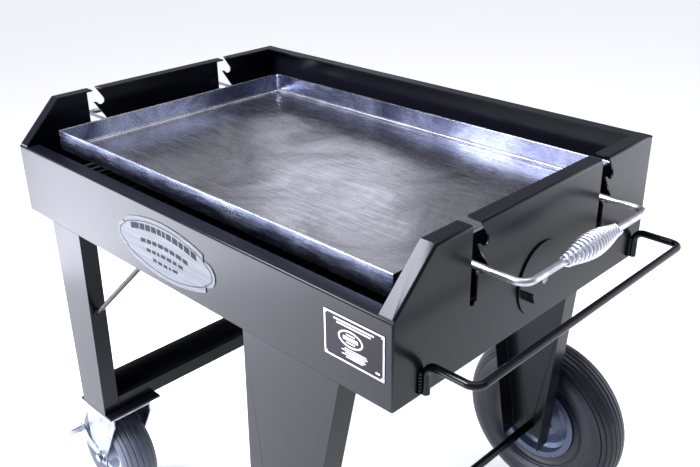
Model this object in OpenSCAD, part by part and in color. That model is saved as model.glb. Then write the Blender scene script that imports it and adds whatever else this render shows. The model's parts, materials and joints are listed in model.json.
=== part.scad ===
// Flat-bed cart grill: a sheet-steel firebox on two wheels and two casters, with a griddle pan
// that hangs by its handle rods in notched slots. Origin on the floor, under the middle of the
// whole object. +X runs towards the tow bar, -Y is the low front, +Z is up.

/* [Firebox] */
// Length of the firebox, left to right
fb_l = 1067; // [1030:1:1150]
// Depth of the firebox, front to back
fb_w = 708; // [700:1:760]
// Height of the front panel
front_h = 148; // [140:1:150]
// Height of the back and end panels
back_h = 236; // [236:1:250]
// How far the end panels slope down towards the front
slope_run = 88; // [60:1:120]
// Thickness of the sheet steel
sheet_t = 3; // [2:0.5:4]
// Width of the flanges turned inwards along the top
flange_w = 29; // [20:1:32]
// Outer radius of the bends
bend_r = 5; // [4:0.5:8]
// Height of the firebox floor above the ground
floor_drop = 759; // [755:1:780]

/* [Hanging slots] */
// Front edge of the front slot, from the front of the firebox
slot_front_y = 171; // [150:1:180]
// Front edge of the back slot
slot_back_y = 532; // [500:1:545]
// Width of the slot's upper channel
slot_w = 14; // [14:0.5:16]
// Width of the slot's lower channel
slot_low_w = 18; // [16:0.5:20]
// Height of the slot's bottom
slot_bottom_z = 100; // [90:1:110]
// Height of the lower hook's tip
low_hook_z = 155.5; // [155:0.5:156]
// Height of the upper hook's tip
high_hook_z = 200.5; // [200:0.5:201]

/* [Griddle] */
// Length of the pan
pan_l = 945; // [900:1:960]
// Width of the pan
pan_w = 611; // [600:1:620]
// Depth of the pan, over the steel
pan_h = 48; // [44:1:50]
// Thickness of the pan's plate
pan_t = 5; // [4:0.5:6]
// Outer radius of the pan's folds
pan_fold_r = 12; // [8:1:16]
// Left end of the pan, from the left of the firebox
pan_x = 69; // [60:1:72]
// Front of the pan, from the front of the firebox
pan_y = 59; // [58:1:62]
// Height of the pan's rim above the firebox floor
pan_rim_z = 181.5; // [176:0.5:184]

/* [Handles] */
// Diameter of the handle rods
rod_d = 12.7; // [10:0.1:12.7]
// Distance from the firebox's end to the middle of the handle's bar
handle_reach = 73; // [60:1:85]
// Bend radius of the handle rod, at its middle
handle_bend_r = 20; // [16:1:26]
// Length of the coil grip
grip_l = 164; // [120:1:170]
// Diameter of the coil grip at its middle
grip_d = 44; // [32:1:48]
// Diameter of the coil grip at its ends
grip_end_d = 23; // [22:0.5:26]
// Thickness of the grip's wire
grip_wire = 5; // [3:0.5:5]

/* [Tow bar] */
// Diameter of the tow bar
tow_d = 13; // [10:0.5:16]
// Distance from the firebox's end to the middle of the bar
tow_reach = 96; // [80:1:110]
// Height of the bar's arms above the firebox floor
tow_z = 55; // [50:1:60]
// Front arm's distance from the front of the firebox
tow_front_y = 66; // [50:1:80]
// Back arm's distance from the front of the firebox
tow_back_y = 676; // [600:1:680]

/* [Wheeled legs] */
// Left edge of the wheeled legs at the top
wheel_leg_x = 733; // [700:1:740]
// Width of the wheeled legs at the top
wheel_leg_w = 228; // [200:1:240]
// Width that each side loses for each unit of height
wheel_leg_taper = 0.113; // [0.08:0.001:0.12]
// How much the front wheel leg leans to the left, per unit of length
wheel_leg_lean = 0.05; // [0:0.005:0.06]
// Depth of the wheeled legs' flanges
wheel_leg_d = 45; // [40:1:50]
// Angle that the wheeled legs lean outwards
splay = 4; // [2:0.5:5]
// Height of the axle above the ground
axle_z = 206; // [206:1:212]
// Diameter of the axle
axle_d = 19; // [16:0.5:20]

/* [Big wheels] */
// Diameter of the tyres
wheel_d = 412; // [380:1:412]
// Width of the tyres
tyre_w = 102; // [90:1:102]
// Diameter of the rims
rim_d = 200; // [196:1:206]
// Distance from the firebox's side to the middle of the wheel
wheel_out = 98; // [94:1:110]

/* [Caster legs] */
// Left edge of the caster legs
caster_leg_x = 96; // [90:1:100]
// Width of the caster legs at the top
caster_leg_w = 107; // [100:1:115]
// Width of the caster legs at the bottom
caster_leg_low_w = 94; // [90:1:100]
// Depth of the caster legs' flanges
caster_leg_d = 38; // [34:1:44]
// Length of the caster legs
caster_leg_h = 462; // [455:1:470]

/* [Casters] */
// Diameter of the caster wheels
caster_d = 254; // [240:1:256]
// Width of the caster wheels
caster_w = 84; // [70:1:86]
// Distance from the pivot to the wheel's axle
caster_trail = 35; // [30:1:45]
// Distance from the firebox's side to the casters' pivot
caster_in = 64; // [62:1:70]
// Distance from the firebox's left end to the casters' pivot
caster_x = 145; // [142:1:150]

/* [Hidden] */
$fn = 64;

eps = 1;
rod_r = rod_d / 2;
// Ends of the whole object along X, from the firebox's left end
x_low = -handle_reach - grip_d / 2;
x_high = fb_l + tow_reach + tow_d / 2;
x_mid = (x_low + x_high) / 2;

slope_k = (back_h - front_h) / slope_run;
slope_angle = atan(slope_k);

// Middle of the rod in its notch, from the slot's front edge and from the hook's tip
notch_u = 33;
notch_depth = 8.5;
notch_r = 7.5;
rest_gap = 0.3;
rod_z = low_hook_z - notch_depth + rod_r + rest_gap;

run_gap = 0.05;
side_gap = 0.4;
axle_x = wheel_leg_x + wheel_leg_w / 2;
hub_l = 76;
washer_t = 3;
leg_foot = 28;

steel_black = [0.13, 0.13, 0.14];
steel_raw = [0.45, 0.46, 0.50];
zinc = [0.80, 0.81, 0.83];
rubber_black = [0.10, 0.10, 0.11];
rim_white = [0.82, 0.83, 0.86];

// ---- helpers ----

// Moves a piece from the firebox's own corner to the object's origin
module from_firebox() {
    translate([-x_mid, -fb_w / 2, floor_drop]) children();
}

// Copies a front piece to the back, as its mirror image
module at_back() {
    translate([0, fb_w, 0]) mirror([0, 1, 0]) children();
}

// Copies a left piece to the right, as its mirror image
module at_right() {
    translate([fb_l, 0, 0]) mirror([1, 0, 0]) children();
}

// What a rounded edge along Z takes away from a corner at the origin. With a proud amount
// above zero, the round meets the flat faces at a slight angle.
module edge_round(r, h, proud = 0) {
    difference() {
        translate([-eps, -eps, 0]) cube([r + eps, r + eps, h]);
        translate([r, r, -eps]) cylinder(r = r + proud, h = h + 2 * eps);
    }
}

// Extrudes a shape drawn in Y and Z along X
module along_x(length) {
    rotate([90, 0, 90]) linear_extrude(length) children();
}

// A round bar between two heights of the Y axis
module bar_y(r, y0, y1) {
    translate([0, y0, 0]) rotate([-90, 0, 0]) cylinder(r = r, h = y1 - y0);
}

// A round bar along X
module bar_x(r, x0, x1) {
    translate([x0, 0, 0]) rotate([0, 90, 0]) cylinder(r = r, h = x1 - x0);
}

// A shape turned about the Y axis, drawn as radius and Y
module turned_y() {
    rotate([-90, 0, 0]) rotate_extrude($fn = 96) children();
}

// ---- firebox ----

// A straight panel with a flange turned inwards along its top, its face on Y = 0
module side_panel(h) {
    difference() {
        cube([fb_l, flange_w, h]);
        translate([-eps, sheet_t, -eps]) cube([fb_l + 2 * eps, flange_w, h - sheet_t + eps]);
        translate([0, 0, h]) rotate([0, 90, 0]) edge_round(bend_r, fb_l);
        // the end panels' flanges pass here
        for (x = [-eps, fb_l - flange_w - side_gap])
            translate([x, sheet_t, h - 2 * sheet_t])
                cube([flange_w + side_gap + eps, flange_w, 3 * sheet_t]);
        for (x = [0, fb_l])
            translate([x, 0, -eps]) mirror([x > 0 ? 1 : 0, 0, 0]) edge_round(sheet_t, h + 2 * eps);
    }
}

// The end panel's outline, shrunk along its top by the given amount
function end_outline(inset) = let (
    y0 = sheet_t,
    y1 = fb_w - sheet_t,
    drop = inset * sqrt(1 + slope_k * slope_k),
    low = inset > 0 ? -eps : 0,
    out = inset > 0 ? eps : 0,
    top = back_h - inset
) [
    [y0 - out, low],
    [y0 - out, front_h + slope_k * (y0 - out) - drop],
    [(top - front_h + drop) / slope_k, top],
    [y1 + out, top],
    [y1 + out, low]
];

// One notch of a hanging slot, its hook's tip at the given height
module notch(tip_z) {
    wall_u = notch_u + notch_r;
    translate([notch_u, tip_z - notch_depth + notch_r]) circle(r = notch_r);
    polygon([
        [slot_w - eps, tip_z],
        [slot_w + 6.5, tip_z - 1],
        [slot_w + 13, tip_z - notch_depth + 1],
        [notch_u, tip_z - notch_depth],
        [notch_u, tip_z - notch_depth + notch_r],
        [wall_u, tip_z - notch_depth + notch_r],
        [wall_u, tip_z + 3.5],
        [slot_w - eps, high_hook_z - low_hook_z + tip_z + eps]
    ]);
}

// The whole slot, from its front edge, open at the top
module slot_outline() {
    low_top = low_hook_z - 5;
    translate([slot_low_w / 2, slot_bottom_z + slot_low_w / 2]) circle(d = slot_low_w);
    translate([0, slot_bottom_z + slot_low_w / 2])
        square([slot_low_w, low_top - slot_bottom_z - slot_low_w / 2]);
    translate([0, low_top - eps]) square([slot_w, back_h - low_top + 2 * eps]);
    notch(low_hook_z);
    notch(high_hook_z);
}

module left_end_sheet() {
    difference() {
        along_x(flange_w) polygon(end_outline(0));
        translate([sheet_t, 0, 0]) along_x(flange_w) polygon(end_outline(sheet_t));
        translate([0, slope_run - bend_r, back_h]) rotate([-90, 0, 0])
            edge_round(bend_r, fb_w, 0.05);
        translate([0, 0, front_h]) rotate([slope_angle - 90, 0, 0])
            edge_round(bend_r, slope_run / cos(slope_angle) + bend_r, 0.05);
        for (y = [slot_front_y, slot_back_y]) translate([-eps, y, 0]) {
            along_x(flange_w + 2 * eps) slot_outline();
            // the slot widens towards the flange's inner edge
            translate([0, 0, back_h - 2 * sheet_t]) linear_extrude(3 * sheet_t)
                polygon([[0, 0], [0, slot_w + 5], [flange_w + 2 * eps, slot_w + 10],
                    [flange_w + 2 * eps, 0]]);
        }
    }
}

module front_panel() {
    color(steel_black) from_firebox() side_panel(front_h);
}

module back_panel() {
    color(steel_black) from_firebox() at_back() side_panel(back_h);
}

module left_end_panel() {
    color(steel_black) from_firebox() left_end_sheet();
}

damper_y = 364;
damper_z = 77;
damper_r = 66;
damper_mouth = 70;
damper_bolt_r = 5;

// A slice of a disc that opens at the given angle, drawn in Y and Z
module pie(r, middle, width) {
    intersection() {
        circle(r = r);
        polygon([[0, 0], for (a = [-0.5, -0.25, 0, 0.25, 0.5])
            [2 * r * cos(middle + a * width), 2 * r * sin(middle + a * width)]]);
    }
}

module right_end_panel() {
    vent_r = damper_r - 10;
    color(steel_black) from_firebox() difference() {
        at_right() left_end_sheet();
        // air inlet behind the damper disc
        translate([fb_l - 2 * sheet_t, damper_y, damper_z]) along_x(3 * sheet_t)
            difference() {
                pie(vent_r, 180, damper_mouth - 12);
                circle(r = 14);
            }
        translate([fb_l, damper_y, damper_z]) bar_x(damper_bolt_r + run_gap, -10, 10);
    }
}

module firebox_floor() {
    color(steel_black) from_firebox()
        translate([sheet_t, sheet_t, 0])
            cube([fb_l - 2 * sheet_t, fb_w - 2 * sheet_t, sheet_t]);
}

grate_z = 62;
grate_bar_r = 4;
grate_gap = 12;

// Angle rails along the front and back panels, which carry the charcoal grate
module grate_rails() {
    rail = 25;
    module rail_one() {
        translate([sheet_t, sheet_t, 0]) difference() {
            translate([0, 0, grate_z - rail]) cube([fb_l - 2 * sheet_t, rail, rail]);
            translate([-eps, sheet_t, grate_z - rail - eps])
                cube([fb_l, rail, rail - sheet_t + eps]);
        }
    }
    color(steel_black) from_firebox() {
        rail_one();
        at_back() rail_one();
    }
}

// Grid of round bars on two cross bars
module charcoal_grate() {
    bar_l = fb_w - 2 * sheet_t - 2 * grate_gap;
    first = sheet_t + grate_gap + grate_bar_r;
    span = fb_l - 2 * first;
    count = 36;
    cross_l = span + 2 * grate_bar_r;
    color(steel_raw) from_firebox() {
        for (i = [0:count])
            translate([first + span * i / count, 0, grate_z + grate_bar_r])
                bar_y(grate_bar_r, sheet_t + grate_gap, sheet_t + grate_gap + bar_l);
        for (y = [0.25, 0.75])
            translate([first - grate_bar_r, fb_w * y - 10, grate_z - sheet_t])
                cube([cross_l, 20, sheet_t + 1]);
    }
}

// ---- damper ----

module damper_disc() {
    tab = 34;
    color(steel_black) from_firebox() translate([fb_l + side_gap, damper_y, damper_z]) {
        difference() {
            along_x(sheet_t) difference() {
                circle(r = damper_r);
                pie(2 * damper_r, 0, damper_mouth);
            }
            bar_x(damper_bolt_r + run_gap, -10, 10);
        }
        // finger tab turned outwards from the disc
        rotate([200, 0, 0]) translate([sheet_t - 0.5, damper_r - 20, -10])
            cube([16, sheet_t, 20]);
    }
}

module damper_bolt() {
    color(zinc) from_firebox() translate([fb_l, damper_y, damper_z]) {
        bar_x(damper_bolt_r, -sheet_t - 8, 2 * sheet_t);
        bar_x(9, sheet_t + 2 * side_gap, sheet_t + 2 * side_gap + 5, $fn = 6);
        bar_x(9, -sheet_t - 6, -sheet_t);
    }
}

// ---- tow bar ----

module tow_bar() {
    r = tow_d / 2;
    bend = 18;
    arm_x = r + bend;
    // an upright end on the panel, a bend, and an arm that runs out
    module tow_end(y) {
        translate([r, y, 4]) cylinder(r = r, h = tow_z - bend - 4);
        translate([arm_x, y, tow_z - bend]) rotate([90, 0, 0]) rotate([0, 0, 90])
            rotate_extrude(angle = 90) translate([bend, 0]) circle(r = r);
        translate([0, y, tow_z]) bar_x(r, arm_x, tow_reach - bend);
    }
    color(steel_black) from_firebox() translate([fb_l, 0, 0]) {
        tow_end(tow_front_y);
        tow_end(tow_back_y);
        translate([tow_reach - bend, tow_front_y + bend, tow_z]) rotate([0, 0, -90])
            rotate_extrude(angle = 90) translate([bend, 0]) circle(r = r);
        translate([tow_reach - bend, tow_back_y - bend, tow_z])
            rotate_extrude(angle = 90) translate([bend, 0]) circle(r = r);
        translate([tow_reach, 0, tow_z]) bar_y(r, tow_front_y + bend, tow_back_y - bend);
    }
}

// Beads in front of each upright end of the tow bar
module tow_bar_welds() {
    bead = 3.5;
    color(steel_black) from_firebox()
        for (y = [tow_front_y, tow_back_y], i = [0:6])
            translate([fb_l + bead * 0.6, y - tow_d / 2 - bead * 0.7, 8 + i * 5.5])
                intersection() {
                    sphere(r = bead, $fn = 24);
                    translate([-bead * 0.6, -bead, -bead])
                        cube([2 * bead, 2 * bead - 0.2, 2 * bead]);
                }
}

// ---- plates on the front ----

nameplate_w = 298;
nameplate_h = 114;
nameplate_t = 1.5;

// Plain plate with arched long sides and round ears
module nameplate() {
    arch_r = 355;
    ear_r = 24;
    color(zinc) from_firebox() translate([520, 0, 69]) rotate([90, 0, 0])
        linear_extrude(nameplate_t) {
            intersection() {
                translate([0, nameplate_h / 2 - arch_r]) circle(r = arch_r, $fn = 128);
                translate([0, arch_r - nameplate_h / 2]) circle(r = arch_r, $fn = 128);
                square([nameplate_w * 0.8, nameplate_h], center = true);
            }
            for (s = [-1, 1])
                translate([s * (nameplate_w / 2 - ear_r), 0]) circle(r = ear_r);
        }
}

module rating_plate() {
    color(steel_black) from_firebox() translate([932, -0.8, 45]) cube([121, 0.8, 77]);
}

// ---- legs ----

// An upright channel with sloping sides: web on Y = 0, flanges towards +Y, its top on Z = 0
module tapered_channel(x0, w, left_k, right_k, h, depth, above) {
    function at(z, inset) = [
        x0 + left_k * -z + inset * sqrt(1 + left_k * left_k),
        x0 + w - right_k * -z - inset * sqrt(1 + right_k * right_k)
    ];
    function outline(top, low, inset) = [
        [at(top, inset)[0], top], [at(top, inset)[1], top],
        [at(low, inset)[1], low], [at(low, inset)[0], low]
    ];
    difference() {
        translate([0, depth, 0]) rotate([90, 0, 0])
            linear_extrude(depth) polygon(outline(above, -h, 0));
        translate([0, depth + eps, 0]) rotate([90, 0, 0])
            linear_extrude(depth - sheet_t + eps)
                polygon(outline(above + eps, -h - eps, sheet_t));
    }
}

module wheel_leg(lean) {
    leg_l = (floor_drop - axle_z + leg_foot) / cos(splay);
    difference() {
        rotate([-splay, 0, 0])
            tapered_channel(wheel_leg_x, wheel_leg_w, wheel_leg_taper - lean,
                wheel_leg_taper + lean, leg_l, wheel_leg_d, 20);
        translate([wheel_leg_x - 50, -50, 0]) cube([wheel_leg_w + 100, 200, 100]);
        translate([axle_x, 0, axle_z - floor_drop]) bar_y(axle_d / 2 + run_gap, -100, 100);
    }
}

module caster_leg() {
    taper = (caster_leg_w - caster_leg_low_w) / caster_leg_h;
    tapered_channel(caster_leg_x, caster_leg_w, 0, taper, caster_leg_h, caster_leg_d, 0);
}

module front_wheel_leg() {
    color(steel_black) from_firebox() wheel_leg(wheel_leg_lean);
}

module back_wheel_leg() {
    color(steel_black) from_firebox() at_back() wheel_leg(0);
}

module front_caster_leg() {
    color(steel_black) from_firebox() caster_leg();
}

module back_caster_leg() {
    color(steel_black) from_firebox() at_back() caster_leg();
}

// Round-bar brace from a caster leg up to the firebox floor
module brace() {
    r = 5;
    low = [200, 16, -193];
    high = [412, 16, 0];
    run = high[0] - low[0];
    rise = high[2] - low[2];
    difference() {
        translate(low) rotate([0, 90 - atan(rise / run), 0])
            translate([0, 0, -8]) cylinder(r = r, h = norm([run, rise]) + 16);
        translate([high[0] - 50, 0, 0]) cube([100, 40, 40]);
        translate([low[0] - 60, 0, low[2] - 40]) cube([60.5, 40, 80]);
    }
}

module front_brace() {
    color(steel_black) from_firebox() brace();
}

module back_brace() {
    color(steel_black) from_firebox() at_back() brace();
}

// Joggled rail between the caster legs: up at the left, flat, then down at the right
module caster_rail() {
    right = caster_leg_x + caster_leg_low_w;
    left = right - 51;
    strip_z = 30;
    up = 42;
    length = fb_w - 2 * caster_leg_d;
    color(steel_black) from_firebox()
        translate([0, fb_w - caster_leg_d, -caster_leg_h]) rotate([90, 0, 0])
            linear_extrude(length) polygon([
                [left, strip_z], [right - sheet_t, strip_z], [right - sheet_t, 0], [right, 0],
                [right, strip_z + sheet_t], [left + sheet_t, strip_z + sheet_t],
                [left + sheet_t, strip_z + up], [left, strip_z + up]
            ]);
}

// Thick plates under the caster legs and the rail
mount_plate_t = 6;

module mount_plate() {
    translate([82, 0, -caster_leg_h - mount_plate_t]) cube([130, 134, mount_plate_t]);
}

module caster_mount_plates() {
    color(steel_black) from_firebox() {
        mount_plate();
        at_back() mount_plate();
    }
}

// ---- griddle ----

// A block with its four lower edges folded round
module folded_block(l, w, h, r) {
    module fold(width) {
        translate([0, r]) square([width, h - r]);
        translate([r, 0]) square([width - 2 * r, h]);
        for (x = [r, width - r]) translate([x, r]) circle(r = r);
    }
    intersection() {
        along_x(l) fold(w);
        translate([0, w, 0]) rotate([90, 0, 0]) linear_extrude(w) fold(l);
    }
}

module griddle_pan() {
    color(steel_raw) from_firebox() translate([pan_x, pan_y, pan_rim_z - pan_h])
        difference() {
            folded_block(pan_l, pan_w, pan_h, pan_fold_r);
            translate([pan_t, pan_t, pan_t])
                folded_block(pan_l - 2 * pan_t, pan_w - 2 * pan_t, pan_h, pan_fold_r - pan_t);
        }
}

arm_front_y = slot_front_y + notch_u;
arm_back_y = slot_back_y + notch_u;

// U-shaped rod from the pan's left end, out through both slots
module left_handle() {
    bend = handle_bend_r;
    for (y = [arm_front_y, arm_back_y])
        translate([0, y, rod_z]) bar_x(rod_r, bend - handle_reach, pan_x);
    translate([-handle_reach, 0, rod_z]) bar_y(rod_r, arm_front_y + bend, arm_back_y - bend);
    translate([bend - handle_reach, arm_front_y + bend, rod_z]) rotate([0, 0, 180])
        rotate_extrude(angle = 90) translate([bend, 0]) circle(r = rod_r);
    translate([bend - handle_reach, arm_back_y - bend, rod_z]) rotate([0, 0, 90])
        rotate_extrude(angle = 90) translate([bend, 0]) circle(r = rod_r);
}

module left_handle_rod() {
    color(zinc) from_firebox() left_handle();
}

module right_handle_rod() {
    far_gap = fb_l - pan_x - pan_l - pan_x;
    color(zinc) from_firebox() difference() {
        union() {
            at_right() left_handle();
            // the arms are longer where the pan stands further from this end
            if (far_gap > 0)
                for (y = [arm_front_y, arm_back_y])
                    translate([0, y, rod_z]) bar_x(rod_r, pan_x + pan_l, fb_l - pan_x + eps);
        }
        translate([pan_x + pan_l - 100, 0, rod_z - 20]) cube([100, fb_w, 40]);
    }
}

// Barrel-shaped coil around the handle's bar, as one turned sleeve
module coil_grip() {
    steps = 16;
    function radius(s) = grip_end_d / 2 + (grip_d - grip_end_d) / 2 * pow(sin(180 * s), 1.4);
    function at(s, inset) = [radius(s) - inset, grip_l * (s - 0.5)];
    outer = [for (i = [0:steps]) at(i / steps, 0)];
    inner = [for (i = [steps:-1:0]) at(i / steps, grip_wire)];
    translate([-handle_reach, (arm_front_y + arm_back_y) / 2, rod_z])
        turned_y() polygon(concat(outer, inner));
}

module left_coil_grip() {
    color(zinc) from_firebox() coil_grip();
}

module right_coil_grip() {
    color(zinc) from_firebox() at_right() coil_grip();
}

// ---- axle and big wheels ----

hub_r = 17;
axle_low = axle_z - floor_drop;
washer_r = 16;
axle_end = wheel_out + hub_l / 2 + 18;

// Moves a wheel drawn about the Y axis to its place on the front side
module at_front_wheel() {
    translate([axle_x, -wheel_out, axle_low]) children();
}

module axle() {
    color(steel_black) from_firebox() translate([axle_x, 0, axle_low])
        difference() {
            bar_y(axle_d / 2, -axle_end, fb_w + axle_end);
            for (y = [-axle_end + 7, fb_w + axle_end - 7])
                translate([0, y, -20]) cylinder(r = 2, h = 40);
        }
}

// Washers on both sides of each hub
module axle_washers() {
    module pair() {
        at_front_wheel() for (y = [-hub_l / 2 - side_gap - washer_t, hub_l / 2 + side_gap])
            difference() {
                bar_y(washer_r, y, y + washer_t);
                bar_y(axle_d / 2 + run_gap, y - eps, y + washer_t + eps);
            }
    }
    color(zinc) from_firebox() {
        pair();
        at_back() pair();
    }
}

module cotter_pins() {
    module cotter() {
        translate([axle_x, -axle_end + 7, axle_low]) {
            translate([0, 0, -axle_d / 2 - 8]) cylinder(r = 1.9, h = axle_d + 12);
            translate([0, 0, axle_d / 2 + 6]) rotate([90, 0, 0])
                rotate_extrude() translate([4.5, 0]) circle(r = 1.5, $fn = 16);
        }
    }
    color(zinc) from_firebox() {
        cotter();
        at_back() cotter();
    }
}

rim_half_w = 38;
bead_r = rim_d / 2 - 12;
tube_r = tyre_w / 2;

// Hollow tyre: a round section with two beads on the rim
module tyre_ring() {
    turned_y() difference() {
        union() {
            translate([wheel_d / 2 - tube_r, 0]) circle(r = tube_r);
            for (s = [-1, 1])
                translate([bead_r, s > 0 ? 24 : -34]) square([30, 10]);
        }
        translate([wheel_d / 2 - tube_r, 0]) circle(r = tube_r - 8);
        translate([0, -24]) square([wheel_d / 2 - tube_r, 48]);
    }
}

// Pressed-steel rim: two lips, the bead seats, a drop centre and a dished disc
module rim_ring() {
    t = 2.5;
    lip = rim_d / 2;
    well = bead_r - 12;
    turned_y() polygon([
        [lip, -rim_half_w], [lip, t - rim_half_w], [bead_r, 4 - rim_half_w],
        [bead_r, -14], [well, -8], [well, 8], [bead_r, 14],
        [bead_r, rim_half_w - 4], [lip, rim_half_w - t], [lip, rim_half_w],
        [bead_r - t, rim_half_w], [bead_r - t, 16], [well - t, 9], [well - t, t],
        [52, t + 8], [hub_r, t + 8], [hub_r, 8 - t],
        [52, 8 - t], [well - t, -t], [well - t, -9], [bead_r - t, -16],
        [bead_r - t, -rim_half_w]
    ]);
}

module hub_tube() {
    turned_y() difference() {
        union() {
            translate([0, -hub_l / 2]) square([hub_r - run_gap, hub_l]);
            for (y = [-hub_l / 2, hub_l / 2 - 6]) translate([0, y]) square([hub_r + 2, 6]);
        }
        translate([-eps, -hub_l / 2 - eps]) square([axle_d / 2 + run_gap + eps, hub_l + 2 * eps]);
    }
}

// Valve through the rim's disc side
module valve_stem() {
    rotate([0, 35, 0]) translate([0, 0, bead_r - 24]) bar_y(4, -28, -10);
}

module front_tyre() {
    color(rubber_black) from_firebox() at_front_wheel() tyre_ring();
}

module front_rim() {
    color(rim_white) from_firebox() at_front_wheel() rim_ring();
}

module front_hub() {
    color(zinc) from_firebox() at_front_wheel() hub_tube();
}

module front_valve() {
    color(rubber_black) from_firebox() at_front_wheel() valve_stem();
}

module back_tyre() {
    color(rubber_black) from_firebox() at_back() at_front_wheel() tyre_ring();
}

module back_rim() {
    color(rim_white) from_firebox() at_back() at_front_wheel() rim_ring();
}

module back_hub() {
    color(zinc) from_firebox() at_back() at_front_wheel() hub_tube();
}

module back_valve() {
    color(rubber_black) from_firebox() at_back() at_front_wheel() valve_stem();
}

// ---- casters ----

plate_z = -caster_leg_h - mount_plate_t;
top_plate_t = 4;
top_plate_l = 112;
top_plate_w = 100;
bolt_l = 84;
bolt_w = 74;
race_r = 32;
race_t = 8;
kingpin_r = 7;
fork_t = 4;
fork_gap = caster_w + 9;
caster_axle_z = caster_d / 2 - floor_drop;
caster_axle_r = 6;
fork_top = plate_z - top_plate_t - race_t - side_gap;
fork_h = fork_top - caster_axle_z;
lever_t = 3;

// Moves a caster drawn about its pivot to the front caster's place
module at_front_caster() {
    translate([caster_x, caster_in, 0]) children();
}

module both_casters() {
    at_front_caster() children();
    at_back() at_front_caster() children();
}

// Fixed plates with their upper bearing race
module caster_top_plates() {
    color(zinc) from_firebox() both_casters() difference() {
        union() {
            translate([-top_plate_l / 2, -top_plate_w / 2, plate_z - top_plate_t])
                cube([top_plate_l, top_plate_w, top_plate_t]);
            translate([0, 0, plate_z - top_plate_t - race_t]) cylinder(r = race_r, h = race_t);
        }
        translate([0, 0, plate_z - 30]) cylinder(r = kingpin_r + run_gap, h = 40);
        for (x = [-1, 1], y = [-1, 1])
            translate([x * bolt_l / 2, y * bolt_w / 2, plate_z - 10]) cylinder(r = 4.5, h = 20);
    }
}

// Bolts that hold the top plates, with their heads below
module caster_plate_bolts() {
    color(zinc) from_firebox() both_casters() for (x = [-1, 1], y = [-1, 1])
        translate([x * bolt_l / 2, y * bolt_w / 2, 0]) {
            translate([0, 0, plate_z - top_plate_t - 5]) cylinder(r = 7, h = 5, $fn = 6);
            translate([0, 0, plate_z - top_plate_t - 1]) cylinder(r = 4.2, h = top_plate_t + 1);
        }
}

// The pin turns with the fork
module kingpin() {
    translate([0, 0, fork_top - fork_t - 6]) cylinder(r = 12, h = 6, $fn = 6);
    translate([0, 0, fork_top - fork_t - 1])
        cylinder(r = kingpin_r, h = plate_z - fork_top + fork_t + 0.5);
}

// Moves what is drawn about the caster wheel's axle to its place on the trailing side
module at_caster_axle() {
    translate([-caster_trail, 0, caster_axle_z]) children();
}

// Side plate of the fork, in X and Z from the axle
module fork_side() {
    polygon([
        [-32, fork_h], [86, fork_h], [86, fork_h - 24],
        [24, 12], [17, -20], [-17, -20], [-30, 12], [-38, 50], [-38, fork_h - 44]
    ]);
}

module fork() {
    difference() {
        union() {
            for (y = [-fork_gap / 2 - fork_t, fork_gap / 2])
                translate([0, y + fork_t, 0]) at_caster_axle() rotate([90, 0, 0])
                    linear_extrude(fork_t) fork_side();
            translate([-caster_trail - 32, -fork_gap / 2 - fork_t, fork_top - fork_t])
                cube([118, fork_gap + 2 * fork_t, fork_t]);
        }
        translate([0, 0, fork_top - 20]) cylinder(r = kingpin_r + run_gap, h = 40);
        at_caster_axle() bar_y(caster_axle_r + run_gap, -80, 80);
    }
}

// Axle bolt with its head, outside the brake lever, and its nut
module caster_axle() {
    side = fork_gap / 2 + fork_t;
    head_y = -side - lever_t - 2 * side_gap;
    at_caster_axle() {
        bar_y(caster_axle_r, head_y - 3, side + 12);
        bar_y(11, head_y - 7, head_y, $fn = 6);
        bar_y(11, side, side + 8, $fn = 6);
    }
}

core_r = 50;
core_lip = 6;
core_half_w = 26;

// Ribbed balloon tyre on a small rim, without its ribs
module caster_tyre() {
    section_r = caster_w / 2;
    at_caster_axle() turned_y() difference() {
        translate([caster_d / 2 - section_r, 0]) circle(r = section_r);
        translate([0, -section_r]) square([core_r, 2 * section_r]);
        for (s = [-1, 1])
            translate([0, s > 0 ? core_half_w : -core_half_w - section_r])
                square([core_r + core_lip, section_r]);
    }
}

module caster_core() {
    bore = caster_axle_r + run_gap;
    web = 5;
    hub_half = fork_gap / 2 - side_gap;
    at_caster_axle() turned_y() {
        translate([core_r - 6, -core_half_w]) square([6, 2 * core_half_w]);
        for (s = [-1, 1])
            translate([core_r - 6, s > 0 ? core_half_w : -core_half_w - 3])
                square([6 + core_lip, 3]);
        translate([bore, -web]) square([core_r - bore - 3, 2 * web]);
        translate([bore, -hub_half]) square([12, 2 * hub_half]);
    }
}

// Side brake lever on the axle bolt, with its foot plate turned outwards
module brake_pedal() {
    inner_y = -fork_gap / 2 - fork_t - side_gap;
    foot_l = 34;
    foot_w = 30;
    at_caster_axle() {
        translate([0, inner_y, 0]) rotate([90, 0, 0]) linear_extrude(lever_t) difference() {
            union() {
                circle(r = 15);
                polygon([[-5, 14], [12, -8], [-52, 10], [-88, 28], [-82, 58], [-62, 62], [-40, 36]]);
            }
            circle(r = caster_axle_r + run_gap);
        }
        translate([-88, inner_y - lever_t - foot_w, 28]) rotate([0, -58, 0])
            cube([foot_l, foot_w + lever_t, lever_t]);
    }
}

module front_kingpin() {
    color(zinc) from_firebox() at_front_caster() kingpin();
}

module front_fork() {
    color(zinc) from_firebox() at_front_caster() fork();
}

module front_caster_axle() {
    color(zinc) from_firebox() at_front_caster() caster_axle();
}

module front_caster_tyre() {
    color(rubber_black) from_firebox() at_front_caster() caster_tyre();
}

module front_caster_core() {
    color(zinc) from_firebox() at_front_caster() caster_core();
}

module front_brake_pedal() {
    color(zinc) from_firebox() at_front_caster() brake_pedal();
}

module back_kingpin() {
    color(zinc) from_firebox() at_back() at_front_caster() kingpin();
}

module back_fork() {
    color(zinc) from_firebox() at_back() at_front_caster() fork();
}

module back_caster_axle() {
    color(zinc) from_firebox() at_back() at_front_caster() caster_axle();
}

module back_caster_tyre() {
    color(rubber_black) from_firebox() at_back() at_front_caster() caster_tyre();
}

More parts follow.
